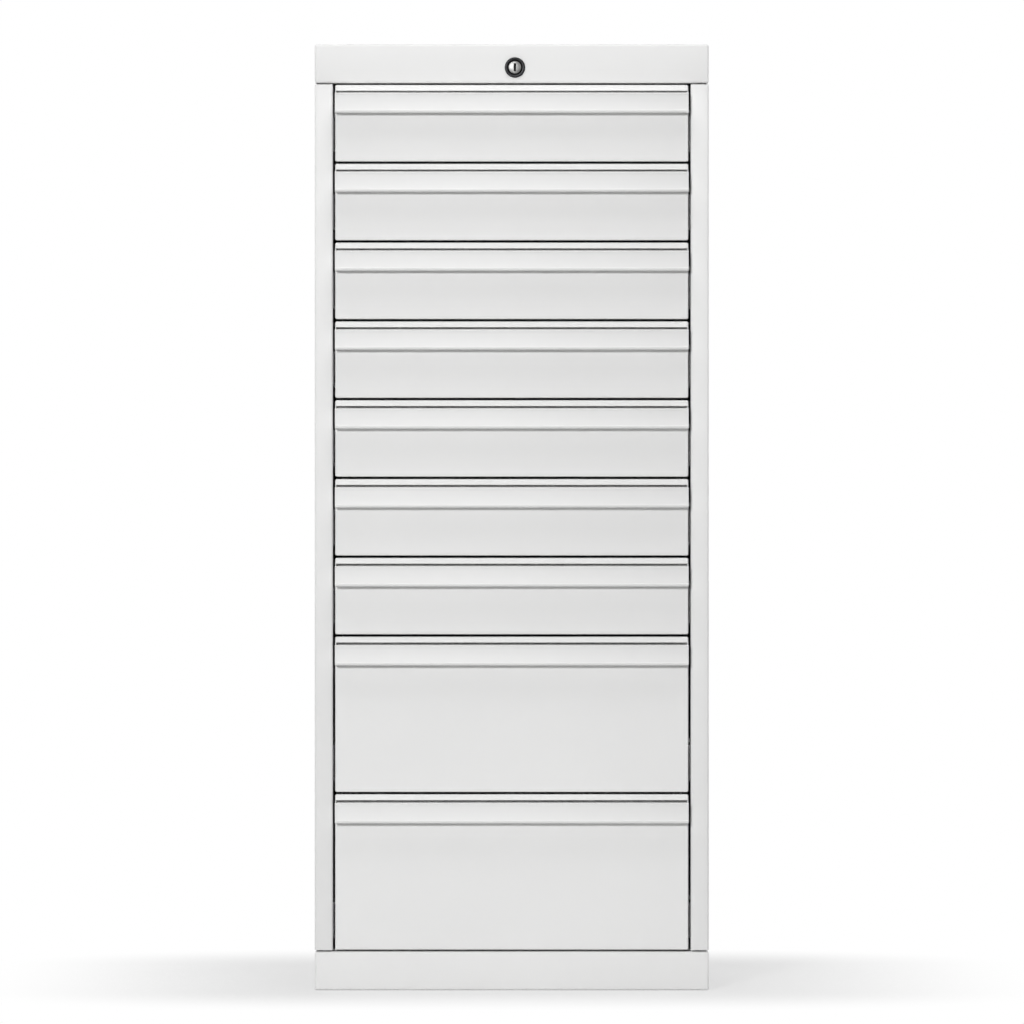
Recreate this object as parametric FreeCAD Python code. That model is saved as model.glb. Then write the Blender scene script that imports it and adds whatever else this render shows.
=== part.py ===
import FreeCAD, Part
import math
import os

# A tall steel cabinet with nine drawers on telescopic runners and one lock that holds all of them.
# Millimetres. +Z is up, +X is to the right seen from the front, and the drawers open towards -Y.
# The origin is on the floor, at the middle of the cabinet's outline from above.

# Casing
width = 500.0
casing_depth = 600.0
header_height = 50.0
plinth_height = 50.0
sheet = 1.5
stile_width = 23.0
stile_return = 12.0
rear_return = 15.0
header_return = 20.0
plinth_top_return = 35.0
plinth_foot_return = 25.0
post_width = 40.0
panel_clearance = 0.2

# Drawers, from the top down
short_drawer_height = 100.0
tall_drawer_height = 200.0
short_drawer_count = 7
tall_drawer_count = 2
front_side_gap = 3.0
front_edge_gap = 1.5
front_sheet = 1.2
front_thickness = 15.0
front_lip = 12.0
tray_sheet = 1.0
tray_floor_gap = 8.0
tray_top_gap = 12.0
tray_back_gap = 15.0
tray_rim_width = 4.0
tray_rim_height = 5.0

# Grip rails
grip_top_gap = 10.2
grip_height = 27.4
grip_projection = 20.0
grip_wall = 2.0
grip_foot = 14.0
grip_plug = 2.0

# Runners, each of three nested channels
runner_space = 12.7
runner_height = 45.0
runner_sheet = 1.2
runner_gap = 0.4
runner_centre = 38.0
runner_setback = 25.0
outer_lip = 8.0
middle_flange = 7.0
inner_lip = 5.2

# Lock and lock bar
lock_offset = 4.0
lock_below_top = 29.4
bezel_radius = 13.0
bezel_height = 2.5
barrel_radius = 10.5
barrel_length = 24.0
barrel_hole_gap = 0.2
plug_radius = 8.0
plug_gap = 0.08
plug_stand_out = 0.6
keyway_width = 3.0
keyway_height = 10.5
keyway_depth = 14.0
tail_radius = 4.0
nut_across_flats = 25.0
nut_thickness = 5.0
cam_thickness = 2.0
cam_radius = 9.0
cam_gap = 0.4
cam_pin_radius = 2.0
cam_pin_throw = 6.0
cam_screw_head_radius = 3.6
cam_screw_head_height = 1.6
cam_screw_radius = 2.0
cam_screw_length = 8.0
bar_thickness = 3.0
bar_gap = 0.5
bar_width = 16.0
bar_arm_height = 17.0
tab_height = 5.0
tab_above_drawer = 64.0
tab_reach = 11.5
catch_sheet = 2.0
catch_outset = 2.7
catch_height = 12.0
catch_bottom = 70.0
catch_length = 23.0
catch_foot = 5.0

# Fasteners and wall fixing
bolt_radius = 3.0
bolt_across_flats = 10.0
bolt_head_height = 4.0
bolt_length = 9.0
bolt_hole_gap = 0.3
bolts_per_side = 3
screw_radius = 2.0
screw_head_radius = 4.0
screw_head_height = 2.0
screw_length = 7.0
screw_hole_gap = 0.1
screws_per_side = 5
screw_end_margin = 40.0
wall_hole_radius = 4.5
wall_hole_spacing = 350.0
wall_hole_below_casing = 50.0

# Places worked out from the sizes above
drawer_heights = [short_drawer_height] * short_drawer_count + [tall_drawer_height] * tall_drawer_count
floor_of_drawers = plinth_height
top_of_drawers = plinth_height + sum(drawer_heights)
height = top_of_drawers + header_height
front = grip_projection - (grip_projection + casing_depth + screw_head_height) / 2
rear = front + casing_depth
half_width = width / 2
skin = half_width - sheet
opening = half_width - stile_width
hollow_middle = (opening + sheet + skin) / 2
back_panel_front = rear - 2 * sheet
post_front = front + stile_return
rear_post_front = back_panel_front - post_width
runner_wall = opening - runner_space
runner_front = front + runner_setback
runner_back = rear_post_front + post_width / 2
outer_half = runner_height / 2
middle_half = outer_half - runner_sheet - runner_gap
inner_half = middle_half - runner_sheet - runner_gap
middle_outer = runner_space - runner_sheet - runner_gap
middle_inner = middle_outer - middle_flange
middle_web = (middle_outer + middle_inner - runner_sheet) / 2
tray_back = runner_back - tray_back_gap
front_half_width = opening - front_side_gap
lock_height = height - lock_below_top
cam_front = front + barrel_length + cam_gap
bar_front = cam_front + cam_thickness + cam_screw_head_height + bar_gap
bar_back = bar_front + bar_thickness
bar_inner = opening + sheet + bar_gap
pin_drop = cam_pin_throw * math.sin(math.pi / 4)
bar_travel = 2 * pin_drop


def box(x0, x1, y0, y1, z0, z1):
    """A rectangular block between two corners, given in either order along each axis."""
    low = FreeCAD.Vector(min(x0, x1), min(y0, y1), min(z0, z1))
    return Part.makeBox(abs(x1 - x0), abs(y1 - y0), abs(z1 - z0), low)


def join(shapes):
    """Blocks that touch or overlap, as one piece of metal."""
    return shapes[0].fuse(shapes[1:]).removeSplitter()


def prism_along_x(points, x0, x1):
    """A bar along X whose section is a closed line through (y, z) points."""
    corners = [FreeCAD.Vector(x0, y, z) for y, z in points]
    face = Part.Face(Part.makePolygon(corners + corners[:1]))
    return face.extrude(FreeCAD.Vector(x1 - x0, 0, 0))


def rod(radius, start, direction, length):
    """A round bar from a point along a direction."""
    return Part.makeCylinder(radius, length, FreeCAD.Vector(*start), FreeCAD.Vector(*direction))


def hexagon(across_flats, start, direction, length):
    """A six-sided bar from a point along a direction."""
    radius = across_flats / math.sqrt(3)
    corners = [
        FreeCAD.Vector(radius * math.cos(math.pi / 3 * k), radius * math.sin(math.pi / 3 * k), 0)
        for k in range(6)
    ]
    bar = Part.Face(Part.makePolygon(corners + corners[:1])).extrude(FreeCAD.Vector(0, 0, length))
    turn = FreeCAD.Rotation(FreeCAD.Vector(0, 0, 1), FreeCAD.Vector(*direction))
    bar.Placement = FreeCAD.Placement(FreeCAD.Vector(*start), turn)
    return bar


def save(name, solids):
    """One STEP file for a node, with each of its pieces as a separate solid."""
    shape = solids[0] if len(solids) == 1 else Part.makeCompound(solids)
    if not shape.isValid():
        raise ValueError(name + " is not a valid shape")
    shape.exportStep("parts/" + name + ".step")
    print(name, len(shape.Solids), round(shape.Volume))


def spread(first, last, count):
    """Evenly spaced places from first to last."""
    return [first + (last - first) * k / (count - 1) for k in range(count)]


def drawer_floor(number):
    """The height of the bottom of a drawer's space, counting drawers from 1 at the top."""
    return top_of_drawers - sum(drawer_heights[:number])


def tab_bottom(number):
    """The lower edge of the lock bar's tab for a drawer, with the lock open."""
    return drawer_floor(number) + tab_above_drawer


# Places of the fasteners
bolt_places = spread(post_front + 2 * post_width, rear_post_front - post_width, bolts_per_side)
screw_places = spread(floor_of_drawers + screw_end_margin, top_of_drawers - screw_end_margin, screws_per_side)
screw_line = half_width - (rear_return + sheet) / 2


def bolt_holes(z0, z1):
    """Drills for the casing bolts through the flanges between two heights."""
    return [
        rod(bolt_radius + bolt_hole_gap, (side * hollow_middle, y, z0), (0, 0, 1), z1 - z0)
        for side in (-1, 1)
        for y in bolt_places
    ]


def screw_holes(sides):
    """Drills for the back panel's screws through the rear return, the back panel and the post's flange."""
    return [
        rod(screw_radius + screw_hole_gap, (side * screw_line, rear, z), (0, -1, 0), 3 * sheet)
        for side in sides
        for z in screw_places
    ]


def bar_notch(z0, z1):
    """The notch that lets the lock bar rise from the right hollow into the header."""
    return box(bar_inner - bar_gap, bar_inner + bar_width + bar_gap, bar_front - bar_gap, bar_back + bar_gap, z0, z1)


# Casing

def top_cover():
    """The folded cover: roof, four skirts and a flange around its underside, with the lock's hole in front."""
    low = top_of_drawers
    flange = low + sheet
    cover = join([
        box(-half_width, half_width, front, rear, height - sheet, height),
        box(-half_width, half_width, front, front + sheet, low, height),
        box(-half_width, half_width, rear - sheet, rear, low, height),
        box(-half_width, -skin, front, rear, low, height),
        box(half_width, skin, front, rear, low, height),
        box(-half_width, half_width, front, front + header_return, low, flange),
        box(-half_width, half_width, rear - header_return, rear, low, flange),
        box(-half_width, -opening, front, rear, low, flange),
        box(half_width, opening, front, rear, low, flange),
    ])
    lock_hole = rod(barrel_radius + barrel_hole_gap, (lock_offset, front, lock_height), (0, 1, 0), sheet)
    return cover.cut([lock_hole, bar_notch(low, flange)] + bolt_holes(low, flange))


def side_panel(side):
    """A folded side: skin, stile with its return, rear return, and a flange at the top and the bottom."""
    low = floor_of_drawers
    high = top_of_drawers
    outer = side * half_width
    inner = side * opening
    panel = join([
        box(outer, side * skin, front, rear, low, high),
        box(outer, inner, front, front + sheet, low, high),
        box(inner, side * (opening + sheet), front, front + stile_return, low, high),
        box(outer, side * (half_width - rear_return), rear - sheet, rear, low, high),
        box(outer, inner, front, back_panel_front, low, low + sheet),
        box(outer, inner, front, back_panel_front, high - sheet, high),
    ])
    cuts = screw_holes([side]) + bolt_holes(low, low + sheet) + bolt_holes(high - sheet, high)
    if side > 0:
        cuts.append(bar_notch(high - sheet, high))
    return panel.cut(cuts)


def back_panel():
    """The flat back, held behind the side panels' rear returns, with two holes for wall fixings."""
    edge = skin - panel_clearance
    panel = box(-edge, edge, back_panel_front, rear - sheet, floor_of_drawers, top_of_drawers)
    fixings = [
        rod(wall_hole_radius, (side * wall_hole_spacing / 2, back_panel_front, top_of_drawers - wall_hole_below_casing),
            (0, 1, 0), sheet)
        for side in (-1, 1)
    ]
    return panel.cut(screw_holes([-1, 1]) + fixings)


def bottom_panel():
    """The flat floor of the casing, between the side panels' flanges, on the plinth's return."""
    return box(-opening, opening, front + front_thickness + sheet, back_panel_front,
               floor_of_drawers, floor_of_drawers + sheet)


def plinth():
    """The folded ring that stands on the floor, with a wide return on top and a narrow one at the foot."""
    ring = box(-half_width, half_width, front, rear, 0, plinth_height)
    room = box(-skin, skin, front + sheet, rear - sheet, sheet, plinth_height - sheet)
    foot_room = box(-half_width + plinth_foot_return, half_width - plinth_foot_return,
                    front + plinth_foot_return, rear - plinth_foot_return, 0, sheet)
    top_room = box(-half_width + plinth_top_return, half_width - plinth_top_return,
                   front + plinth_top_return, rear - plinth_top_return, plinth_height - sheet, plinth_height)
    return ring.cut([room, foot_room, top_room] + bolt_holes(plinth_height - sheet, plinth_height))


def post(side, y0):
    """A channel that stands between the side panel's flanges, its web towards the drawers."""
    low = floor_of_drawers + sheet
    high = top_of_drawers - sheet
    y1 = y0 + post_width
    web = box(side * opening, side * (opening + sheet), y0, y1, low, high)
    near = box(side * opening, side * skin, y0, y0 + sheet, low, high)
    far = box(side * opening, side * skin, y1 - sheet, y1, low, high)
    return join([web, near, far])


def tab_slots():
    """The slots in the right front post that the lock bar's tabs pass through and rise in."""
    return [
        box(opening, opening + sheet, bar_front - bar_gap, bar_back + bar_gap,
            tab_bottom(number) - bar_gap, tab_bottom(number) + tab_height + bar_travel + bar_gap)
        for number in range(1, len(drawer_heights) + 1)
    ]


def front_posts():
    """The left front post, and the right one with the lock bar's slots."""
    return [post(-1, post_front), post(1, post_front).cut(tab_slots())]


def rear_posts():
    """The two posts in front of the back panel."""
    return [post(side, rear_post_front).cut(screw_holes([side])) for side in (-1, 1)]


def casing_bolt(side, y, head_z, direction):
    """A hexagon-head bolt through two flanges, pointing up or down."""
    x = side * hollow_middle
    head = hexagon(bolt_across_flats, (x, y, head_z), (0, 0, -direction), bolt_head_height)
    shank = rod(bolt_radius, (x, y, head_z), (0, 0, direction), bolt_length)
    return join([head, shank])


def casing_bolts():
    """Bolts from the side panels' flanges up into the cover and down into the plinth."""
    upper = [casing_bolt(side, y, top_of_drawers - sheet, 1) for side in (-1, 1) for y in bolt_places]
    lower = [casing_bolt(side, y, floor_of_drawers + sheet, -1) for side in (-1, 1) for y in bolt_places]
    return upper + lower


def back_screw(side, z):
    """A flat-headed screw that holds the back panel to a side panel's rear return."""
    head = rod(screw_head_radius, (side * screw_line, rear, z), (0, 1, 0), screw_head_height)
    shank = rod(screw_radius, (side * screw_line, rear, z), (0, -1, 0), screw_length)
    return join([head, shank])


# Runners

def runner_bar(side, z, spans, y0, y1):
    """A rolled runner member from (near, far, low, high) blocks, measured from the tray and the middle line."""
    return join([
        box(side * (runner_wall + near), side * (runner_wall + far), y0, y1, z + low, z + high)
        for near, far, low, high in spans
    ])


def channel_spans(web_near, web_far, lip_near, lip_far, half):
    """The blocks of a channel: its web and the lips at its upper and lower edges."""
    return [
        (web_near, web_far, -half, half),
        (lip_near, lip_far, half - runner_sheet, half),
        (lip_near, lip_far, -half, -half + runner_sheet),
    ]


def cabinet_rail(side, number):
    """The runner member fixed to the posts."""
    spans = channel_spans(runner_space - runner_sheet, runner_space,
                          runner_space - runner_sheet - outer_lip, runner_space, outer_half)
    return runner_bar(side, drawer_floor(number) + runner_centre, spans, runner_front, runner_back)


def mid_rail(side, number):
    """The runner member between the other two, which moves half as far as the drawer."""
    spans = channel_spans(middle_web, middle_web + runner_sheet, middle_inner, middle_outer, middle_half)
    return runner_bar(side, drawer_floor(number) + runner_centre, spans,
                      runner_front + runner_sheet, runner_back - runner_sheet)


def inner_rail(side, number):
    """The runner member fixed to the tray's side."""
    spans = channel_spans(0, runner_sheet, 0, runner_sheet + inner_lip, inner_half)
    return runner_bar(side, drawer_floor(number) + runner_centre, spans,
                      front + front_thickness + runner_sheet, tray_back - runner_sheet)


# Drawers

def drawer_front(number):
    """A folded pan, open at the back inside its lips."""
    low = drawer_floor(number) + front_edge_gap
    high = drawer_floor(number - 1) - front_edge_gap
    back = front + front_thickness
    pan = box(-front_half_width, front_half_width, front, back, low, high)
    room = box(-front_half_width + front_sheet, front_half_width - front_sheet,
               front + front_sheet, back - front_sheet, low + front_sheet, high - front_sheet)
    mouth = box(-front_half_width + front_lip, front_half_width - front_lip,
                back - front_sheet, back, low + front_lip, high - front_lip)
    return pan.cut([room, mouth])


def lock_catch(number):
    """The angle on the right of the front that the lock bar's tab rises into."""
    low = drawer_floor(number) + catch_bottom
    high = low + catch_height
    back = front + front_thickness
    near = runner_wall + catch_outset
    blade = box(near, near + catch_sheet, back, back + catch_length, low, high)
    foot = box(near, near + catch_sheet + catch_foot, back, back + catch_sheet, low, high)
    slot_top = tab_bottom(number) + tab_height + bar_travel + bar_gap
    slot = box(near, near + catch_sheet, bar_front - bar_gap * 2, bar_back + bar_gap * 2, low, slot_top)
    return join([blade, foot]).cut(slot)


def drawer_tray(number):
    """A folded tray with a rolled rim along both sides."""
    low = drawer_floor(number) + tray_floor_gap
    high = drawer_floor(number - 1) - tray_top_gap
    y0 = front + front_thickness
    tray = box(-runner_wall, runner_wall, y0, tray_back, low, high)
    room = box(-runner_wall + tray_sheet, runner_wall - tray_sheet,
               y0 + tray_sheet, tray_back - tray_sheet, low + tray_sheet, high)
    rim = runner_wall + tray_rim_width
    rims = []
    for side in (-1, 1):
        rims.append(box(side * runner_wall, side * rim, y0, tray_back, high - tray_sheet, high))
        rims.append(box(side * (rim - tray_sheet), side * rim, y0, tray_back, high - tray_rim_height, high))
    return join([tray.cut(room)] + rims)


def drawer_handle(number):
    """A grip rail across the whole front, open downwards, and the plugs that close its two ends."""
    top = drawer_floor(number - 1) - grip_top_gap
    face = front - grip_projection
    rail = prism_along_x([
        (front, top),
        (face, top),
        (face, top - grip_height),
        (face + grip_wall, top - grip_height),
        (face + grip_wall, top - grip_wall),
        (front - grip_wall, top - grip_wall),
        (front - grip_wall, top - grip_foot),
        (front, top - grip_foot),
    ], -front_half_width, front_half_width)
    plugs = [
        box(side * front_half_width, side * (front_half_width - grip_plug), face + grip_wall, front - grip_wall,
            top - grip_height, top - grip_wall)
        for side in (-1, 1)
    ]
    return [rail] + plugs


# Lock

def lock_housing():
    """The lock's fixed body, with its bezel on the face of the header, and its nut behind the sheet."""
    centre = (lock_offset, front, lock_height)
    bezel = rod(bezel_radius, centre, (0, -1, 0), bezel_height)
    barrel = rod(barrel_radius, centre, (0, 1, 0), barrel_length)
    bore = rod(plug_radius + plug_gap, (lock_offset, front - bezel_height, lock_height), (0, 1, 0),
               bezel_height + barrel_length)
    nut = hexagon(nut_across_flats, (lock_offset, front + sheet, lock_height), (0, 1, 0), nut_thickness)
    thread = rod(barrel_radius + plug_gap, (lock_offset, front + sheet, lock_height), (0, 1, 0), nut_thickness)
    return [join([bezel, barrel]).cut(bore), nut.cut(thread)]


def lock_plug():
    """The turning plug, with an upright keyway in its face and a stepped tail for the cam."""
    face = front - bezel_height - plug_stand_out
    body = rod(plug_radius, (lock_offset, face, lock_height), (0, 1, 0), front + barrel_length - face)
    tail = rod(tail_radius, (lock_offset, front + barrel_length, lock_height), (0, 1, 0), cam_gap)
    keyway = box(lock_offset - keyway_width / 2, lock_offset + keyway_width / 2, face, face + keyway_depth,
                 lock_height - keyway_height / 2, lock_height + keyway_height / 2)
    screw_hole = rod(cam_screw_radius, (lock_offset, front + barrel_length + cam_gap, lock_height), (0, -1, 0),
                     cam_screw_length)
    return join([body, tail]).cut([keyway, screw_hole])


def lock_cam():
    """The cam behind the plug, with its drive pin low on the left, and the screw that holds it."""
    pin_x = lock_offset - pin_drop
    pin_z = lock_height - pin_drop
    disc = rod(cam_radius, (lock_offset, cam_front, lock_height), (0, 1, 0), cam_thickness)
    pin = rod(cam_pin_radius, (pin_x, cam_front, pin_z), (0, 1, 0), bar_back + bar_gap - cam_front)
    hole = rod(cam_screw_radius, (lock_offset, cam_front, lock_height), (0, 1, 0), cam_thickness)
    head_start = (lock_offset, cam_front + cam_thickness, lock_height)
    head = rod(cam_screw_head_radius, head_start, (0, 1, 0), cam_screw_head_height)
    shank = rod(cam_screw_radius, head_start, (0, -1, 0), cam_thickness + cam_screw_length)
    return [join([disc.cut(hole), pin]), join([head, shank])]


def lock_bar():
    """The plate cut to an arm in the header, a strip down the right front post and a tab for each drawer."""
    pin_z = lock_height - pin_drop
    arm_low = pin_z - bar_arm_height / 2
    arm_high = pin_z + bar_arm_height / 2
    strip_outer = bar_inner + bar_width
    arm_end = lock_offset - cam_pin_throw - 3 * cam_pin_radius
    lowest = tab_bottom(len(drawer_heights))
    blocks = [
        box(arm_end, strip_outer, bar_front, bar_back, arm_low, arm_high),
        box(bar_inner, strip_outer, bar_front, bar_back, lowest, arm_high),
    ]
    for number in range(1, len(drawer_heights) + 1):
        z = tab_bottom(number)
        blocks.append(box(opening - tab_reach, strip_outer, bar_front, bar_back, z, z + tab_height))
    slot_half_height = cam_pin_radius + bar_gap
    slot = box(lock_offset - cam_pin_throw - slot_half_height, lock_offset - pin_drop + slot_half_height,
               bar_front, bar_back, pin_z - slot_half_height, pin_z + slot_half_height)
    return join(blocks).cut(slot)


os.makedirs("parts", exist_ok=True)

save("top_cover", [top_cover()])
save("side_panel_left", [side_panel(-1)])
save("side_panel_right", [side_panel(1)])
save("back_panel", [back_panel()])
save("bottom_panel", [bottom_panel()])
save("plinth", [plinth()])
save("front_posts", front_posts())
save("rear_posts", rear_posts())
save("casing_bolts", casing_bolts())
save("back_screws", [back_screw(side, z) for side in (-1, 1) for z in screw_places])
save("lock_housing", lock_housing())
save("lock_plug", [lock_plug()])
save("lock_cam", lock_cam())
save("lock_bar", [lock_bar()])

drawer_numbers = range(1, len(drawer_heights) + 1)
save("cabinet_rails", [cabinet_rail(side, number) for number in drawer_numbers for side in (-1, 1)])
for number in drawer_numbers:
    name = "drawer_" + str(number)
    save(name + "_front", [drawer_front(number), lock_catch(number)])
    save(name + "_handle", drawer_handle(number))
    save(name + "_tray", [drawer_tray(number)])
    save(name + "_inner_rails", [inner_rail(-1, number), inner_rail(1, number)])
    save(name + "_mid_rails", [mid_rail(-1, number), mid_rail(1, number)])
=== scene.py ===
import math

import bpy
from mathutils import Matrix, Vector


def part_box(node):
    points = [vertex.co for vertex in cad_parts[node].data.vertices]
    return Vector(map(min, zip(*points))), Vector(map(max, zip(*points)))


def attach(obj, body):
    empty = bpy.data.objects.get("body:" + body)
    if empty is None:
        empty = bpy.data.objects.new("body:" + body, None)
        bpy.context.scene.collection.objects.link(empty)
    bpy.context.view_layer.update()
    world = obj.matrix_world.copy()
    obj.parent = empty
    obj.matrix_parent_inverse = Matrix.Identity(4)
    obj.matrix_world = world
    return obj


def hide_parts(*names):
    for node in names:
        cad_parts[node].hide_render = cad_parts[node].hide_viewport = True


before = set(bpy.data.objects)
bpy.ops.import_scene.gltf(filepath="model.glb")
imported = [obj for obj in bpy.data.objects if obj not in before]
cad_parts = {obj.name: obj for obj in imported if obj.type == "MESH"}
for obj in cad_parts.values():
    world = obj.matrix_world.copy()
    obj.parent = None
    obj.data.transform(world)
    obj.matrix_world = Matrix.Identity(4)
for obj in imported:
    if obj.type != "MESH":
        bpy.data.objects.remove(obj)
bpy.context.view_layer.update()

# Sizes in metres, and the distances within which two points count as one
MM = 0.001
SAME_PLACE = 0.01 * MM
MERGE_DISTANCE = 0.001 * MM

# How finely round shapes are cut
FOLD_STEPS = 4
EDGE_STEPS = 2
ROUND_SIDES = 64
SCREW_SIDES = 32

# The angles in degrees from which an edge is softened, and from which its shading is sharp
SOFTENED_ANGLE = 60
SHARP_ANGLE = 35

# The least share of a face's normal along a direction for the face to count as turned that way
FACING = 0.5

# How far the middle of a small turned round lies from each flat, as a share of its radius
ROUND_MIDDLE = 0.3

# Casing sheet, its bends, and what each part gives to the seam between two of them
CASING_SHEET = 1.5 * MM
CASING_FOLD = 3.0 * MM
CASING_EDGE = 0.4 * MM
STILE_RETURN = 12 * MM
REAR_RETURN = 15 * MM
COVER_RETURN = 20 * MM
PLINTH_TOP_RETURN = 35 * MM
PLINTH_FOOT_RETURN = 25 * MM
SEAM = 0.9 * MM
SEAM_DEPTH = 6 * MM
SEAM_FRONT_DEPTH = 12 * MM
TAB_LENGTH = 8 * MM
BAR_CLEARANCE = 0.5 * MM

# Screws in the back
SCREW_RADIUS = 2.0 * MM
SCREW_HEAD_RADIUS = 4.0 * MM
RECESS_REACH = 2.2 * MM
RECESS_WIDTH = 0.9 * MM
RECESS_DEPTH = 1.2 * MM
SCREW_ROWS = 5

# Points down a screw head's crown, as shares of its radius and its height
HEAD_CURVE = ((0, 0), (0.55, 0.08), (0.85, 0.3), (1.0, 0.65))

# Drawer fronts
FRONT_SHEET = 1.2 * MM
FRONT_FOLD = 2.2 * MM
FRONT_DEPTH = 15 * MM
FRONT_LIP = 12 * MM
THIN_EDGE = 0.25 * MM

# Grip rails, and the slot in the front that each one hooks into
RAIL_WALL = 2.0 * MM
RAIL_FOOT = 14 * MM
RAIL_LIP = 4.0 * MM
RAIL_DROP = 2.0 * MM
RAIL_TOP_NOSE = 0.8 * MM
RAIL_BOTTOM_NOSE = 2.8 * MM
LABEL_TOP_LIP = 1.6 * MM
LABEL_BOTTOM_LIP = 3.4 * MM
LABEL_DEPTH = 0.9 * MM
LABEL_SLOPE = 0.35 * MM
HOOK_SLOT = 3.4 * MM
END_PLUG_RELIEF = 0.2 * MM
END_PLUG_BORDER = 3.0 * MM
END_PLUG_RECESS = 0.6 * MM
END_PLUG_EDGE = 0.3 * MM

# Catches behind the fronts
CATCH_SHEET = 2.0 * MM
CATCH_FOLD = 2.5 * MM
CATCH_X = 217 * MM
CATCH_RISE = 68.5 * MM
CATCH_HEIGHT = 12 * MM
CATCH_FLANGE = 7 * MM
CATCH_SLOT = 8 * MM

# Trays
TRAY_SHEET = 1.0 * MM
TRAY_FOLD = 2.0 * MM
RIM_WIDTH = 4 * MM
RIM_HEIGHT = 5 * MM
RIM_FOLD = 1.9 * MM

# Lock
BEZEL_RADIUS = 13 * MM
BEZEL_HEIGHT = 2.5 * MM
BEZEL_ROUND = 0.9 * MM
FUNNEL_WIDTH = 1.6 * MM
FUNNEL_DEPTH = 1.6 * MM
BARREL_RADIUS = 10.5 * MM
BARREL_CHAMFER = 0.5 * MM
LOCK_HOLE_RADIUS = 10.7 * MM
BORE_RADIUS = 8.08 * MM
NUT_THICKNESS = 5 * MM
THREAD_GAP = 0.08 * MM
PLUG_RADIUS = 8.0 * MM
PLUG_ROUND = 0.5 * MM
TAIL_RADIUS = 4.0 * MM
TAIL_LENGTH = 0.4 * MM
KEYWAY_WIDTH = 3.0 * MM
KEYWAY_HEIGHT = 10.5 * MM
KEYWAY_DEPTH = 14 * MM

# Points down the funnel around the plug, as shares of its width and its depth
FUNNEL_CURVE = ((1.0, 0), (0.7, 0.2), (0.3, 0.9), (0, 1.0))

# Drawers from the top down
SHORT_DRAWERS = range(1, 8)
TALL_DRAWERS = range(8, 10)
DRAWERS = range(1, 10)

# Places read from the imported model
cover_low, cover_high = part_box("top_cover")
plinth_low, plinth_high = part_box("plinth")
panel_low, panel_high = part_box("side_panel_right")
plug_low, plug_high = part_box("lock_plug")
housing_low, housing_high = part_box("lock_housing")
bar_low, bar_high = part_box("lock_bar")
screws_low, screws_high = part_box("back_screws")
front_low, front_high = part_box("drawer_1_front")
rail_low, rail_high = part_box("drawer_1_handle")
lock_x = (plug_low.x + plug_high.x) / 2
lock_z = (plug_low.z + plug_high.z) / 2
face_y = cover_low.y
opening = panel_low.x


# Ways of working

def deselect():
    """Leaves nothing selected, so that the next operator acts on new work alone."""
    if bpy.context.object and bpy.context.object.mode == "EDIT":
        bpy.ops.object.mode_set(mode="OBJECT")
    bpy.ops.object.select_all(action="DESELECT")


def only(piece):
    """Selects one piece and makes it the active one."""
    deselect()
    piece.select_set(True)
    bpy.context.view_layer.objects.active = piece


def edit_all(piece):
    """Goes into edit mode with everything selected."""
    only(piece)
    bpy.ops.object.mode_set(mode="EDIT")
    bpy.ops.mesh.select_all(action="SELECT")


def done():
    """Goes back to object mode."""
    bpy.ops.object.mode_set(mode="OBJECT")


def name_piece(name):
    """Names the new piece and its mesh, and puts its place into its mesh."""
    piece = bpy.context.object
    piece.name = name
    piece.data.name = name
    only(piece)
    bpy.ops.object.transform_apply(location=True, rotation=True, scale=True)
    return piece


def block(name, corner, opposite):
    """A rectangular block between two opposite corners."""
    low = Vector(map(min, corner, opposite))
    high = Vector(map(max, corner, opposite))
    deselect()
    bpy.ops.mesh.primitive_cube_add(size=1, location=(low + high) / 2)
    bpy.context.object.scale = high - low
    return name_piece(name)


def drum(name, radius, start, end, sides=ROUND_SIDES):
    """A round bar along Y between two ends of its axis."""
    start = Vector(start)
    end = Vector(end)
    deselect()
    bpy.ops.mesh.primitive_cylinder_add(vertices=sides, radius=radius, depth=(end - start).length,
                                        location=(start + end) / 2, rotation=(math.pi / 2, 0, 0))
    return name_piece(name)


def trace(name, points):
    """A line of straight runs through points."""
    deselect()
    bpy.ops.mesh.primitive_plane_add(size=MM, location=points[0])
    piece = name_piece(name)
    edit_all(piece)
    bpy.ops.mesh.select_mode(type="VERT")
    bpy.ops.mesh.merge(type="CENTER")
    for start, end in zip(points, points[1:]):
        step = Vector(end) - Vector(start)
        bpy.ops.mesh.extrude_vertices_move(TRANSFORM_OT_translate={"value": step})
    done()
    return piece


def turned(name, profile, centre, steps=ROUND_SIDES):
    """A turned piece: a line of (radius, y) points spun about an axis along Y."""
    points = [(centre[0] + radius, y, centre[1]) for radius, y in profile]
    piece = trace(name, points)
    edit_all(piece)
    axis_point = (centre[0], points[0][1], centre[1])
    bpy.ops.mesh.spin(steps=steps, angle=2 * math.pi, center=axis_point, axis=(0, 1, 0))
    bpy.ops.mesh.select_all(action="SELECT")
    bpy.ops.mesh.remove_doubles(threshold=MERGE_DISTANCE)
    bpy.ops.mesh.normals_make_consistent(inside=False)
    done()
    return piece


def pick_faces(piece, test):
    """Goes into edit mode with the faces selected whose centre and normal pass a test."""
    edit_all(piece)
    bpy.ops.mesh.select_mode(type="FACE")
    bpy.ops.mesh.select_all(action="DESELECT")
    done()
    for face in piece.data.polygons:
        face.select = test(face.center, face.normal)
    bpy.ops.object.mode_set(mode="EDIT")


def pick_edges(piece, test):
    """Goes into edit mode with the edges selected whose two ends pass a test."""
    edit_all(piece)
    bpy.ops.mesh.select_mode(type="EDGE")
    bpy.ops.mesh.select_all(action="DESELECT")
    done()
    points = piece.data.vertices
    for edge in piece.data.edges:
        edge.select = test(points[edge.vertices[0]].co, points[edge.vertices[1]].co)
    bpy.ops.object.mode_set(mode="EDIT")


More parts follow.
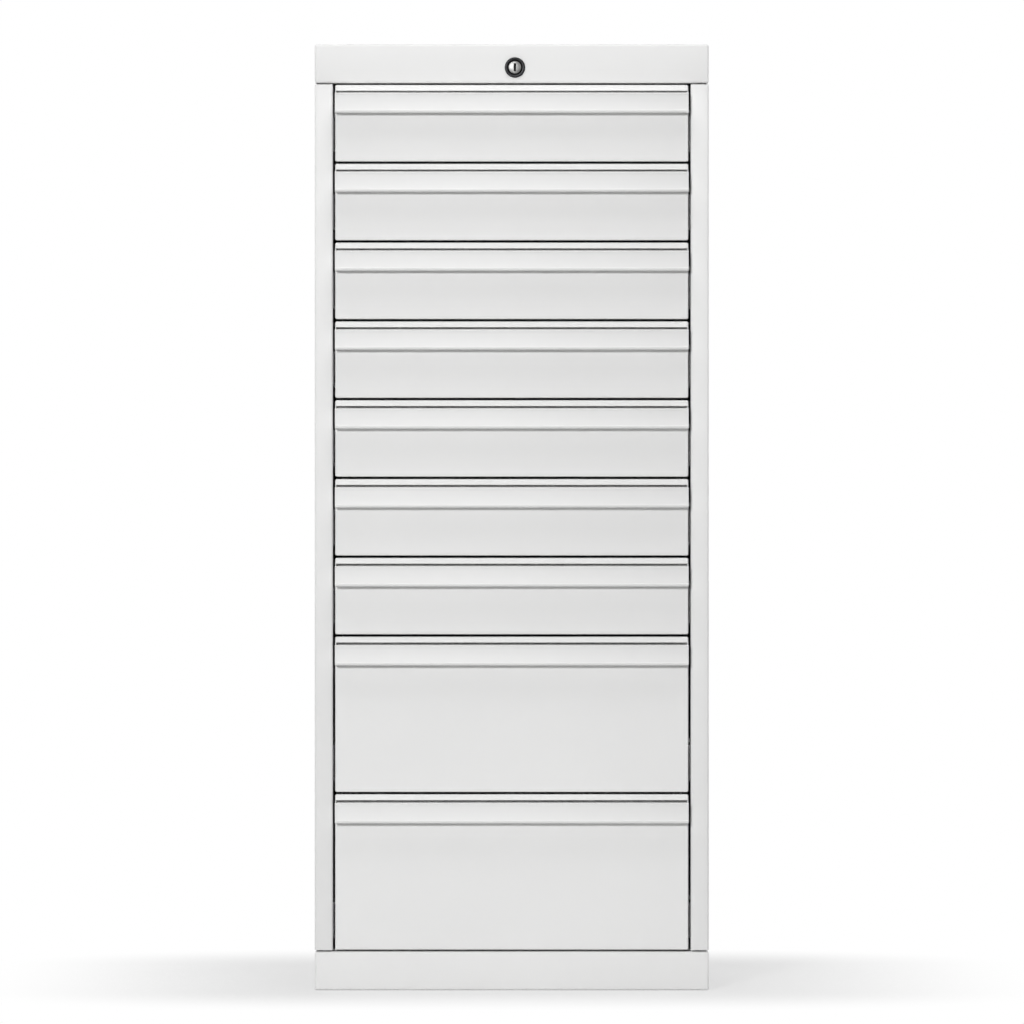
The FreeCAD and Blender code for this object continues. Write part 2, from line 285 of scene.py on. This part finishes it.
def push(piece, step):
    """Extrudes all of a piece along a step."""
    edit_all(piece)
    bpy.ops.mesh.extrude_region_move(TRANSFORM_OT_translate={"value": step})
    bpy.ops.mesh.select_all(action="SELECT")
    bpy.ops.mesh.normals_make_consistent(inside=False)
    done()


def round_folds(piece, radius):
    """Rounds every corner of a traced line but its two ends."""
    edit_all(piece)
    bpy.ops.mesh.select_mode(type="VERT")
    bpy.ops.mesh.bevel(offset=radius, segments=FOLD_STEPS, affect="VERTICES")
    done()


def round_edges(piece, test, radius):
    """Rounds the edges whose two ends pass a test."""
    pick_edges(piece, test)
    bpy.ops.mesh.bevel(offset=radius, segments=FOLD_STEPS, affect="EDGES")
    done()


def modify(piece, kind, **settings):
    """Adds a modifier, sets it and applies it."""
    only(piece)
    modifier = piece.modifiers.new(kind.lower(), kind)
    for key, value in settings.items():
        setattr(modifier, key, value)
    bpy.ops.object.modifier_apply(modifier=modifier.name)


def thicken(piece, thickness, inside):
    """Gives a folded sheet its thickness, on the side where a point lies."""
    largest = max(piece.data.polygons, key=lambda face: face.area)
    side = 1 if largest.normal.dot(Vector(inside) - largest.center) > 0 else -1
    modify(piece, "SOLIDIFY", thickness=thickness, offset=side, use_even_offset=True)


def soften(piece, width, angle=SOFTENED_ANGLE):
    """Takes the sharpness off every edge that turns more than an angle."""
    modify(piece, "BEVEL", width=width, segments=EDGE_STEPS, limit_method="ANGLE",
           angle_limit=math.radians(angle))


def cut(piece, cutter):
    """Cuts a hole with a cutter and removes the cutter."""
    modify(piece, "BOOLEAN", object=cutter, operation="DIFFERENCE", solver="EXACT")
    bpy.data.objects.remove(cutter, do_unlink=True)


def smooth(piece):
    """Smooth shading over the rounded folds and flat shading over the sharp edges."""
    only(piece)
    bpy.ops.object.shade_smooth_by_angle(angle=math.radians(SHARP_ANGLE))


def join(pieces):
    """One object from several, named as the first."""
    only(pieces[0])
    for piece in pieces:
        piece.select_set(True)
    bpy.ops.object.join()
    return bpy.context.object


def copy_of(piece, name, shift):
    """A copy with its own mesh, moved by a shift."""
    only(piece)
    bpy.ops.object.duplicate(linked=False)
    bpy.context.object.location = shift
    return name_piece(name)


def dress(piece, material, body, node):
    """Gives a finished piece its finish, its body, the node that it stands for and its finish's slot."""
    piece.data.materials.clear()
    piece.data.materials.append(material)
    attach(piece, body)
    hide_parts(node)


# Finishes, with the two values that noise mostly lies between

NOISE_LOW = 0.3
NOISE_HIGH = 0.7


def new_material(name):
    """An empty material with its nodes, its links and its shader."""
    material = bpy.data.materials.new(name)
    material.use_nodes = True
    nodes = material.node_tree.nodes
    links = material.node_tree.links
    return material, nodes, links, nodes["Principled BSDF"]


def grain(nodes, links, scale, detail=2.0, stretch=(1, 1, 1)):
    """Noise in real size on a piece's own coordinates."""
    place = nodes.new("ShaderNodeTexCoord")
    mapping = nodes.new("ShaderNodeMapping")
    mapping.inputs["Scale"].default_value = stretch
    noise = nodes.new("ShaderNodeTexNoise")
    noise.inputs["Scale"].default_value = scale
    noise.inputs["Detail"].default_value = detail
    links.new(place.outputs["Object"], mapping.inputs["Vector"])
    links.new(mapping.outputs["Vector"], noise.inputs["Vector"])
    return noise.outputs["Fac"]


def spread(nodes, links, source, low, high):
    """Turns a pattern into numbers between two values."""
    span = nodes.new("ShaderNodeMapRange")
    span.inputs["From Min"].default_value = NOISE_LOW
    span.inputs["From Max"].default_value = NOISE_HIGH
    span.inputs["To Min"].default_value = low
    span.inputs["To Max"].default_value = high
    links.new(source, span.inputs["Value"])
    return span.outputs["Result"]


def tint(nodes, links, source, dark, light):
    """Colours between two tones by a pattern."""
    ramp = nodes.new("ShaderNodeValToRGB")
    ramp.color_ramp.elements[0].position = NOISE_LOW
    ramp.color_ramp.elements[0].color = (*dark, 1)
    ramp.color_ramp.elements[1].position = NOISE_HIGH
    ramp.color_ramp.elements[1].color = (*light, 1)
    links.new(source, ramp.inputs["Fac"])
    return ramp.outputs["Color"]


def raise_by(nodes, links, shader, source, strength, distance):
    """Raises the surface by a pattern, over a real height."""
    raised = nodes.new("ShaderNodeBump")
    raised.inputs["Strength"].default_value = strength
    raised.inputs["Distance"].default_value = distance
    links.new(source, raised.inputs["Height"])
    links.new(raised.outputs["Normal"], shader.inputs["Normal"])


def powder_coat(name, dark, light, roughness):
    """Powder coat: a fine orange-peel skin, cloudy by a shade, with a little change in its roughness."""
    material, nodes, links, shader = new_material(name)
    cloud = grain(nodes, links, scale=3.0, detail=4.0)
    peel = grain(nodes, links, scale=420.0)
    links.new(tint(nodes, links, cloud, dark, light), shader.inputs["Base Color"])
    uneven = spread(nodes, links, cloud, low=roughness - 0.04, high=roughness + 0.04)
    links.new(uneven, shader.inputs["Roughness"])
    raise_by(nodes, links, shader, peel, strength=0.18, distance=0.15 * MM)
    shader.inputs["IOR"].default_value = 1.5
    return material


def plated_steel(name, dark, light, roughness, stretch=(1, 1, 1)):
    """Zinc-plated steel: fine grain over a cloudy grey, drawn out to streaks where it is stretched."""
    material, nodes, links, shader = new_material(name)
    streak = grain(nodes, links, scale=400.0, detail=3.0, stretch=stretch)
    cloud = grain(nodes, links, scale=14.0, detail=5.0)
    links.new(tint(nodes, links, cloud, dark, light), shader.inputs["Base Color"])
    uneven = spread(nodes, links, streak, low=roughness - 0.08, high=roughness + 0.10)
    links.new(uneven, shader.inputs["Roughness"])
    raise_by(nodes, links, shader, streak, strength=0.10, distance=0.05 * MM)
    shader.inputs["Metallic"].default_value = 1.0
    return material


def lock_plating(name, dark, light, roughness):
    """Plating on the lock: smooth, with faint wisps left by turning. Also used for the near-black painted
    shade inside the keyway.
    """
    material, nodes, links, shader = new_material(name)
    wisp = grain(nodes, links, scale=220.0, detail=3.0)
    links.new(tint(nodes, links, wisp, dark, light), shader.inputs["Base Color"])
    uneven = spread(nodes, links, wisp, low=roughness - 0.03, high=roughness + 0.05)
    links.new(uneven, shader.inputs["Roughness"])
    raise_by(nodes, links, shader, wisp, strength=0.04, distance=0.03 * MM)
    shader.inputs["Metallic"].default_value = 1.0
    return material


ALONG_Y = (1, 0.03, 1)
ALONG_Z = (1, 1, 0.03)
casing_paint = powder_coat("casing_powder_coat", (0.82, 0.82, 0.815), (0.85, 0.85, 0.845), roughness=0.61)
front_paint = powder_coat("front_powder_coat", (0.85, 0.85, 0.845), (0.88, 0.88, 0.875), roughness=0.61)
grip_paint = powder_coat("grip_powder_coat", (0.86, 0.86, 0.855), (0.89, 0.89, 0.885), roughness=0.61)
tray_paint = powder_coat("tray_powder_coat", (0.64, 0.65, 0.65), (0.68, 0.69, 0.69), roughness=0.48)
runner_steel = plated_steel("runner_zinc_plate", (0.42, 0.43, 0.44), (0.54, 0.55, 0.56), 0.40, ALONG_Y)
post_steel = plated_steel("post_zinc_plate", (0.38, 0.39, 0.40), (0.48, 0.49, 0.50), 0.44, ALONG_Z)
bar_steel = plated_steel("bar_zinc_plate", (0.46, 0.47, 0.48), (0.58, 0.59, 0.60), 0.38)
bezel_plate = lock_plating("bezel_burnished_plate", (0.014, 0.014, 0.015), (0.024, 0.024, 0.025), 0.36)
plug_plate = lock_plating("plug_nickel_plate", (0.16, 0.16, 0.157), (0.22, 0.22, 0.216), 0.38)
# The inside of the keyway is painted near-black: painted shade standing in for the shadow deep in the slot.
keyway_painted_shade = lock_plating("keyway_painted_shadow", (0.012, 0.012, 0.012), (0.02, 0.02, 0.02), 0.7)


# Casing

def fold_corners(piece, low, high, radius):
    """Rounds the outer edges of a block, which run from corner to corner."""
    def corner(point):
        gaps = [min(abs(c - a), abs(c - b)) for c, a, b in zip(point, low, high)]
        return max(gaps) < SAME_PLACE
    round_edges(piece, lambda a, b: corner(a) and corner(b), radius)


def open_side(piece, towards, width, sideways=1.0):
    """Opens one side of a block inside a return of a given width, and widens the opening along X."""
    towards = Vector(towards)
    pick_faces(piece, lambda centre, normal: normal.dot(towards) > FACING)
    bpy.ops.mesh.inset(thickness=width, use_even_offset=True)
    bpy.ops.transform.resize(value=(sideways, 1, 1))
    bpy.ops.mesh.delete(type="FACE")
    done()


def bar_notch(low_z, high_z):
    """A cutter for the notch that the lock bar rises through."""
    return block("notch", (opening + CASING_SHEET, bar_low.y - BAR_CLEARANCE, low_z),
                 (bar_high.x + BAR_CLEARANCE, bar_high.y + BAR_CLEARANCE, high_z))


def make_cover():
    """The folded cover, with the lock's hole in its header and the bar's notch in its return."""
    low = cover_low + Vector((0, 0, SEAM))
    cover = block("top_cover_shell", low, cover_high)
    half_width_inside = cover_high.x - COVER_RETURN
    open_side(cover, (0, 0, -1), COVER_RETURN, sideways=opening / half_width_inside)
    fold_corners(cover, low, cover_high, CASING_FOLD)
    thicken(cover, CASING_SHEET, (low + cover_high) / 2)
    soften(cover, CASING_EDGE)
    before = (lock_x, face_y - CASING_SHEET, lock_z)
    behind = (lock_x, face_y + 3 * CASING_SHEET, lock_z)
    cut(cover, drum("lock_hole", LOCK_HOLE_RADIUS, before, behind))
    cut(cover, bar_notch(low.z - CASING_SHEET, low.z + 2 * CASING_SHEET))
    smooth(cover)
    dress(cover, casing_paint, "casing", "top_cover")


def make_flange(side, name, end, up):
    """The flange that closes one end of a side panel: a seat behind the seam, tied to the stile by a tab."""
    near = side * (opening + CASING_SHEET / 2)
    foot = end - up * CASING_SHEET
    seat_front = panel_low.y + SEAM_FRONT_DEPTH
    seat = block(name, (near, seat_front, foot),
                 (side * (panel_high.x - SEAM_DEPTH), panel_high.y - SEAM_DEPTH, end + up * SEAM))
    tab = block("tab", (near, panel_low.y + SEAM_DEPTH, foot),
                (near + side * TAB_LENGTH, seat_front + TAB_LENGTH, end - up * SEAM))
    flange = join([seat, tab])
    soften(flange, THIN_EDGE)
    return flange


def make_side_panel(side, node):
    """A side folded from one sheet: stile return, stile, skin and rear return, closed by two flanges."""
    low_z = panel_low.z + SEAM
    high_z = panel_high.z - SEAM
    outer = side * panel_high.x
    inner = side * opening
    path = [
        (inner, panel_low.y + STILE_RETURN, low_z),
        (inner, panel_low.y, low_z),
        (outer, panel_low.y, low_z),
        (outer, panel_high.y, low_z),
        (side * (panel_high.x - REAR_RETURN), panel_high.y, low_z),
    ]
    panel = trace(node + "_sheet", path)
    round_folds(panel, CASING_FOLD)
    push(panel, (0, 0, high_z - low_z))
    thicken(panel, CASING_SHEET, ((outer + inner) / 2, 0, (low_z + high_z) / 2))
    soften(panel, CASING_EDGE)
    foot = make_flange(side, "foot_flange", panel_low.z, -1)
    head = make_flange(side, "head_flange", panel_high.z, 1)
    if side > 0:
        cut(head, bar_notch(high_z - 2 * CASING_SHEET, high_z + 2 * CASING_SHEET))
    panel = join([panel, foot, head])
    smooth(panel)
    dress(panel, casing_paint, "casing", node)


def make_plinth():
    """The folded plinth ring, with a wide return on top and a narrow one at the foot."""
    high = plinth_high - Vector((0, 0, SEAM))
    plinth = block("plinth_ring", plinth_low, high)
    open_side(plinth, (0, 0, 1), PLINTH_TOP_RETURN)
    open_side(plinth, (0, 0, -1), PLINTH_FOOT_RETURN)
    fold_corners(plinth, plinth_low, high, CASING_FOLD)
    thicken(plinth, CASING_SHEET, (plinth_low + high) / 2)
    soften(plinth, CASING_EDGE)
    smooth(plinth)
    dress(plinth, casing_paint, "casing", "plinth")


def make_back_screws():
    """Ten pan-head screws with cross recesses, modelled once and copied down both sides of the back."""
    x = screws_high.x - SCREW_HEAD_RADIUS
    z = screws_high.z - SCREW_HEAD_RADIUS
    crown = screws_high.y
    seat = panel_high.y
    height = crown - seat
    profile = [(SCREW_HEAD_RADIUS * across, crown - height * down) for across, down in HEAD_CURVE]
    profile += [
        (SCREW_HEAD_RADIUS, seat),
        (SCREW_RADIUS, seat),
        (SCREW_RADIUS, screws_low.y + SCREW_RADIUS / 2),
        (0, screws_low.y),
    ]
    screw = turned("back_screw_1", profile, (x, z), steps=SCREW_SIDES)
    narrow = RECESS_WIDTH / 2
    for wide, tall in ((RECESS_REACH, narrow), (narrow, RECESS_REACH)):
        bottom = (x - wide, crown - RECESS_DEPTH, z - tall)
        cut(screw, block("recess", bottom, (x + wide, crown + RECESS_DEPTH, z + tall)))
    edit_all(screw)
    bpy.ops.mesh.dissolve_degenerate(threshold=MERGE_DISTANCE)
    done()
    smooth(screw)
    pitch = (z - (screws_low.z + SCREW_HEAD_RADIUS)) / (SCREW_ROWS - 1)
    screws = [screw]
    for across in (0, -2 * x):
        for row in range(SCREW_ROWS):
            if across or row:
                name = "back_screw_%d" % (len(screws) + 1)
                screws.append(copy_of(screw, name, (across, 0, -pitch * row)))
    for piece in screws:
        dress(piece, bar_steel, "casing", "back_screws")


# Drawers

def make_front(number):
    """A front folded as a pan from one sheet, with lips at the back and the slot for its grip rail."""
    node = "drawer_%d_front" % number
    low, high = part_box(node)
    high.y = low.y + FRONT_DEPTH
    pan = block(node + "_pan", low, high)
    open_side(pan, (0, 1, 0), FRONT_LIP)
    fold_corners(pan, low, high, FRONT_FOLD)
    thicken(pan, FRONT_SHEET, (low + high) / 2)
    slot_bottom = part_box("drawer_%d_handle" % number)[1].z - RAIL_DROP
    slot_low = (low.x - FRONT_SHEET, low.y - FRONT_SHEET, slot_bottom - FRONT_SHEET)
    slot_high = (high.x + FRONT_SHEET, low.y + 2 * FRONT_SHEET, slot_bottom + HOOK_SLOT)
    cut(pan, block("hook_slot", slot_low, slot_high))
    smooth(pan)
    dress(pan, front_paint, "drawer_%d" % number, node)


def make_catches():
    """The angle behind each front that the lock bar's tab rises into, modelled once and copied."""
    back = front_low.y + FRONT_DEPTH
    low_z = front_low.z + CATCH_RISE
    path = [(CATCH_X + CATCH_FLANGE, back, low_z), (CATCH_X, back, low_z), (CATCH_X, front_high.y, low_z)]
    catch = trace("drawer_1_catch", path)
    round_folds(catch, CATCH_FOLD)
    push(catch, (0, 0, CATCH_HEIGHT))
    thicken(catch, CATCH_SHEET, (CATCH_X + CATCH_FLANGE, front_high.y, low_z))
    slot_low = (CATCH_X - CATCH_SHEET, bar_low.y - 2 * BAR_CLEARANCE, low_z - CATCH_SHEET)
    slot_high = (CATCH_X + 2 * CATCH_SHEET, bar_high.y + 2 * BAR_CLEARANCE, low_z + CATCH_SLOT)
    cut(catch, block("tab_slot", slot_low, slot_high))
    soften(catch, THIN_EDGE)
    smooth(catch)
    catches = [catch]
    for number in DRAWERS[1:]:
        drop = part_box("drawer_%d_front" % number)[0].z - front_low.z
        catches.append(copy_of(catch, "drawer_%d_catch" % number, (0, 0, drop)))
    for number, piece in zip(DRAWERS, catches):
        dress(piece, bar_steel, "drawer_%d" % number, "drawer_%d_front" % number)


def make_rail():
    """A grip rail: a foot on the front, a top web, and a face with a label channel and a rounded lip below.

    The web lies a small drop under the top of the rail's box.
    """
    face = rail_low.y
    seat = rail_high.y
    top = rail_high.z - RAIL_DROP
    bottom = rail_low.z
    profile = [
        (seat, top),
        (face, top),
        (face, top - LABEL_TOP_LIP),
        (face + LABEL_DEPTH, top - LABEL_TOP_LIP - LABEL_SLOPE),
        (face + LABEL_DEPTH, bottom + LABEL_BOTTOM_LIP + LABEL_SLOPE),
        (face, bottom + LABEL_BOTTOM_LIP),
        (face, bottom),
        (face + RAIL_LIP, bottom),
        (face + RAIL_LIP, bottom + RAIL_WALL),
        (face + RAIL_WALL, bottom + RAIL_WALL),
        (face + RAIL_WALL, top - RAIL_WALL),
        (seat - RAIL_WALL, top - RAIL_WALL),
        (seat - RAIL_WALL, top - RAIL_FOOT),
        (seat, top - RAIL_FOOT),
    ]
    rail = trace("drawer_1_grip_rail", [(rail_low.x, y, z) for y, z in profile])
    edit_all(rail)
    bpy.ops.mesh.edge_face_add()
    done()
    push(rail, (rail_high.x - rail_low.x, 0, 0))
    for height, nose in ((top, RAIL_TOP_NOSE), (bottom, RAIL_BOTTOM_NOSE)):
        def at_nose(point):
            return abs(point.y - face) < SAME_PLACE and abs(point.z - height) < SAME_PLACE
        round_edges(rail, lambda a, b: at_nose(a) and at_nose(b), nose)
    soften(rail, THIN_EDGE, angle=50)
    smooth(rail)
    return rail


def make_end_plug(side, name):
    """The plug that closes one end of a grip rail, its outer face recessed within a border."""
    outer = side * (rail_high.x - END_PLUG_RELIEF)
    inner = side * (rail_high.x - RAIL_WALL)
    plug = block(name, (inner, rail_low.y + RAIL_WALL, rail_low.z + THIN_EDGE),
                 (outer, rail_high.y - RAIL_WALL, rail_high.z - RAIL_DROP - RAIL_WALL))
    pick_faces(plug, lambda centre, normal: normal.x * side > FACING)
    bpy.ops.mesh.inset(thickness=END_PLUG_BORDER, use_even_offset=True)
    bpy.ops.transform.translate(value=(-side * END_PLUG_RECESS, 0, 0))
    done()
    soften(plug, END_PLUG_EDGE, angle=30)
    smooth(plug)
    return plug


def make_rails():
    """The grip rail and its two end plugs, modelled once and copied to every drawer."""
    parts = {
        "grip_rail": make_rail(),
        "end_plug_left": make_end_plug(-1, "drawer_1_end_plug_left"),
        "end_plug_right": make_end_plug(1, "drawer_1_end_plug_right"),
    }
    for number in DRAWERS:
        node = "drawer_%d_handle" % number
        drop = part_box(node)[1].z - rail_high.z
        for part, first in parts.items():
            piece = first
            if number > 1:
                piece = copy_of(first, "drawer_%d_%s" % (number, part), (0, 0, drop))
            dress(piece, grip_paint, "drawer_%d" % number, node)


def make_rim(side, wall, high, start, length):
    """The rolled rim along one side of a tray."""
    path = [
        (side * (wall - TRAY_SHEET), start, high.z),
        (side * high.x, start, high.z),
        (side * high.x, start, high.z - RIM_HEIGHT),
    ]
    rim = trace("rim", path)
    round_folds(rim, RIM_FOLD)
    push(rim, (0, length, 0))
    thicken(rim, TRAY_SHEET, (side * wall, start + length / 2, high.z - 2 * RIM_HEIGHT))
    return rim


def make_trays(numbers):
    """A tray folded from one sheet, with a rim along both sides, modelled once for a height and copied."""
    first = numbers[0]
    low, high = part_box("drawer_%d_tray" % first)
    wall = high.x - RIM_WIDTH
    tray_low = Vector((-wall, low.y, low.z))
    tray_high = Vector((wall, high.y, high.z))
    tray = block("drawer_%d_tray_shell" % first, tray_low, tray_high)
    pick_faces(tray, lambda centre, normal: normal.z > FACING)
    bpy.ops.mesh.delete(type="ONLY_FACE")
    done()
    rim_edge = high.z - SAME_PLACE
    round_edges(tray, lambda a, b: min(a.z, b.z) < rim_edge, TRAY_FOLD)
    thicken(tray, TRAY_SHEET, (tray_low + tray_high) / 2)
    start = low.y + TRAY_FOLD
    length = high.y - low.y - 2 * TRAY_FOLD
    tray = join([tray] + [make_rim(side, wall, high, start, length) for side in (-1, 1)])
    soften(tray, THIN_EDGE)
    smooth(tray)
    trays = [tray]
    for number in numbers[1:]:
        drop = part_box("drawer_%d_tray" % number)[0].z - low.z
        trays.append(copy_of(tray, "drawer_%d_tray_shell" % number, (0, 0, drop)))
    for number, piece in zip(numbers, trays):
        dress(piece, tray_paint, "drawer_%d" % number, "drawer_%d_tray" % number)


# Lock

def make_housing():
    """The bezel and barrel turned in one piece, with a funnel around the plug."""
    rim = face_y - BEZEL_HEIGHT
    back = housing_high.y
    profile = [
        (BEZEL_RADIUS, face_y),
        (BEZEL_RADIUS, rim + BEZEL_ROUND),
        (BEZEL_RADIUS - BEZEL_ROUND * ROUND_MIDDLE, rim + BEZEL_ROUND * ROUND_MIDDLE),
        (BEZEL_RADIUS - BEZEL_ROUND, rim),
    ]
    for across, down in FUNNEL_CURVE:
        profile.append((BORE_RADIUS + FUNNEL_WIDTH * across, rim + FUNNEL_DEPTH * down))
    profile += [
        (BORE_RADIUS, back),
        (BARREL_RADIUS - BARREL_CHAMFER, back),
        (BARREL_RADIUS, back - BARREL_CHAMFER),
        (BARREL_RADIUS, face_y),
        (BEZEL_RADIUS, face_y),
    ]
    housing = turned("lock_bezel_and_barrel", profile, (lock_x, lock_z))
    smooth(housing)
    dress(housing, bezel_plate, "casing", "lock_housing")


def make_nut():
    """The hexagon nut that holds the barrel from behind the header."""
    seat = Vector((lock_x, face_y + CASING_SHEET, lock_z))
    end = seat + Vector((0, NUT_THICKNESS, 0))
    over = Vector((0, CASING_SHEET, 0))
    nut = drum("lock_nut", (housing_high.z - housing_low.z) / 2, seat, end, sides=6)
    soften(nut, THIN_EDGE, angle=50)
    cut(nut, drum("thread", BARREL_RADIUS + THREAD_GAP, seat - over, end + over))
    smooth(nut)
    dress(nut, bezel_plate, "casing", "lock_housing")


def make_plug():
    """The turning plug, with its upright keyway and its tail."""
    face = plug_low.y
    back = plug_high.y - TAIL_LENGTH
    profile = [
        (0, face),
        (PLUG_RADIUS - PLUG_ROUND, face),
        (PLUG_RADIUS - PLUG_ROUND * ROUND_MIDDLE, face + PLUG_ROUND * ROUND_MIDDLE),
        (PLUG_RADIUS, face + PLUG_ROUND),
        (PLUG_RADIUS, back),
        (TAIL_RADIUS, back),
        (TAIL_RADIUS, plug_high.y),
        (0, plug_high.y),
    ]
    plug = turned("lock_cylinder_plug", profile, (lock_x, lock_z))
    half = Vector((KEYWAY_WIDTH / 2, 0, KEYWAY_HEIGHT / 2))
    mouth = Vector((lock_x, face, lock_z))
    floor = mouth + Vector((0, KEYWAY_DEPTH, 0))
    cut(plug, block("keyway", mouth - half - Vector((0, PLUG_ROUND, 0)), floor + half))
    smooth(plug)
    dress(plug, plug_plate, "lock_plug", "lock_plug")
    # The faces inside the keyway get the near-black painted shade, which stands in for the shadow in the
    # slot.
    plug.data.materials.append(keyway_painted_shade)
    for polygon in plug.data.polygons:
        place = polygon.center - mouth
        within = abs(place.x) < half.x + SAME_PLACE and abs(place.z) < half.z + SAME_PLACE
        if within and SAME_PLACE < place.y < KEYWAY_DEPTH + SAME_PLACE:
            polygon.material_index = 1


make_cover()
make_side_panel(-1, "side_panel_left")
make_side_panel(1, "side_panel_right")
make_plinth()
make_back_screws()
for drawer in DRAWERS:
    make_front(drawer)
make_catches()
make_rails()
make_trays(SHORT_DRAWERS)
make_trays(TALL_DRAWERS)
make_housing()
make_nut()
make_plug()

# The nodes that keep their own mesh
finishes = {
    "back_panel": casing_paint,
    "bottom_panel": casing_paint,
    "front_posts": post_steel,
    "rear_posts": post_steel,
    "cabinet_rails": runner_steel,
    "casing_bolts": bar_steel,
    "lock_cam": bar_steel,
    "lock_bar": bar_steel,
}
for drawer in DRAWERS:
    finishes["drawer_%d_inner_rails" % drawer] = runner_steel
    finishes["drawer_%d_mid_rails" % drawer] = runner_steel
for node, finish in finishes.items():
    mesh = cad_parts[node].data
    mesh.materials.clear()
    mesh.materials.append(finish)


# Stage

def make_floor(size, tone, near, fade_width):
    """A pale floor that holds the shadow by the cabinet and fades to the backdrop's white away from it."""
    deselect()
    bpy.ops.mesh.primitive_plane_add(size=size)
    floor = name_piece("studio_floor")
    material, nodes, links, shader = new_material("studio_floor_paint")
    shader.inputs["Base Color"].default_value = (tone, tone, tone, 1)
    shader.inputs["Roughness"].default_value = 0.9
    shader.inputs["Specular IOR Level"].default_value = 0.1
    place = nodes.new("ShaderNodeTexCoord")
    folded = nodes.new("ShaderNodeVectorMath")
    folded.operation = "ABSOLUTE"
    beyond = nodes.new("ShaderNodeVectorMath")
    beyond.operation = "SUBTRACT"
    beyond.inputs[1].default_value = (cover_high.x, cover_high.y, 1)
    outside = nodes.new("ShaderNodeVectorMath")
    outside.operation = "MAXIMUM"
    outside.inputs[1].default_value = (0, 0, 0)
    distance = nodes.new("ShaderNodeVectorMath")
    distance.operation = "LENGTH"
    fade = nodes.new("ShaderNodeMapRange")
    fade.interpolation_type = "SMOOTHSTEP"
    fade.inputs["From Min"].default_value = 0.0
    fade.inputs["From Max"].default_value = fade_width
    fade.inputs["To Min"].default_value = near
    fade.inputs["To Max"].default_value = 1.0
    path = nodes.new("ShaderNodeLightPath")
    seen = nodes.new("ShaderNodeMath")
    seen.operation = "MULTIPLY"
    white = nodes.new("ShaderNodeEmission")
    white.inputs["Color"].default_value = (1, 1, 1, 1)
    white.inputs["Strength"].default_value = 1.0
    mix = nodes.new("ShaderNodeMixShader")
    links.new(place.outputs["Object"], folded.inputs[0])
    links.new(folded.outputs["Vector"], beyond.inputs[0])
    links.new(beyond.outputs["Vector"], outside.inputs[0])
    links.new(outside.outputs["Vector"], distance.inputs[0])
    links.new(distance.outputs["Value"], fade.inputs["Value"])
    links.new(fade.outputs["Result"], seen.inputs[0])
    links.new(path.outputs["Is Camera Ray"], seen.inputs[1])
    links.new(seen.outputs["Value"], mix.inputs["Fac"])
    links.new(shader.outputs["BSDF"], mix.inputs[1])
    links.new(white.outputs["Emission"], mix.inputs[2])
    links.new(mix.outputs["Shader"], nodes["Material Output"].inputs["Surface"])
    floor.data.materials.append(material)


def make_world(ambient):
    """White where the camera and mirrors look past the cabinet, and a plain soft light for all else."""
    world = bpy.data.worlds.new("studio")
    bpy.context.scene.world = world
    world.use_nodes = True
    nodes = world.node_tree.nodes
    links = world.node_tree.links
    background = nodes["Background"]
    path = nodes.new("ShaderNodeLightPath")
    mirrored = nodes.new("ShaderNodeMath")
    mirrored.operation = "MAXIMUM"
    seen = nodes.new("ShaderNodeMath")
    seen.operation = "MAXIMUM"
    level = nodes.new("ShaderNodeMapRange")
    level.inputs["To Min"].default_value = ambient
    level.inputs["To Max"].default_value = 1.0
    links.new(path.outputs["Is Glossy Ray"], mirrored.inputs[0])
    links.new(path.outputs["Is Transmission Ray"], mirrored.inputs[1])
    links.new(path.outputs["Is Camera Ray"], seen.inputs[0])
    links.new(mirrored.outputs["Value"], seen.inputs[1])
    links.new(seen.outputs["Value"], level.inputs["Value"])
    links.new(level.outputs["Result"], background.inputs["Strength"])
    background.inputs["Color"].default_value = (1, 1, 1, 1)


def make_lamp(name, place, size, power):
    """A soft square lamp that points at the middle of the cabinet."""
    deselect()
    bpy.ops.object.light_add(type="AREA", location=place)
    lamp = bpy.context.object
    lamp.name = name
    lamp.data.shape = "SQUARE"
    lamp.data.size = size
    lamp.data.energy = power
    aim = Vector((0, 0, cover_high.z / 2)) - Vector(place)
    lamp.rotation_euler = aim.to_track_quat("-Z", "Y").to_euler()


def make_camera(lens, view_width, view_x, view_z):
    """A long lens straight in front of the cabinet, as the elevation is drawn."""
    sensor = 36.0
    distance = view_width * lens / sensor
    deselect()
    bpy.ops.object.camera_add(location=(view_x, face_y - distance, view_z), rotation=(math.pi / 2, 0, 0))
    camera = bpy.context.object
    camera.data.lens = lens
    camera.data.sensor_width = sensor
    camera.data.clip_end = 100.0
    bpy.context.scene.camera = camera


make_floor(size=40, tone=0.72, near=0.5, fade_width=0.45)
make_world(ambient=0.12)
make_lamp("key_lamp", (-2.4, -12.0, 2.9), size=1.2, power=755)
make_lamp("top_lamp", (0, -1.0, 4.0), size=2.4, power=57)
make_lamp("left_lamp", (-4.0, 2.2, 1.0), size=2.0, power=62)
make_lamp("right_lamp", (4.0, 2.2, 1.0), size=2.0, power=80)
make_lamp("rear_lamp", (0.4, 5.0, 1.1), size=2.0, power=56)
make_camera(lens=300.0, view_width=1.299, view_x=0.0003, view_z=0.6067)
bpy.context.scene.view_settings.view_transform = "Standard"
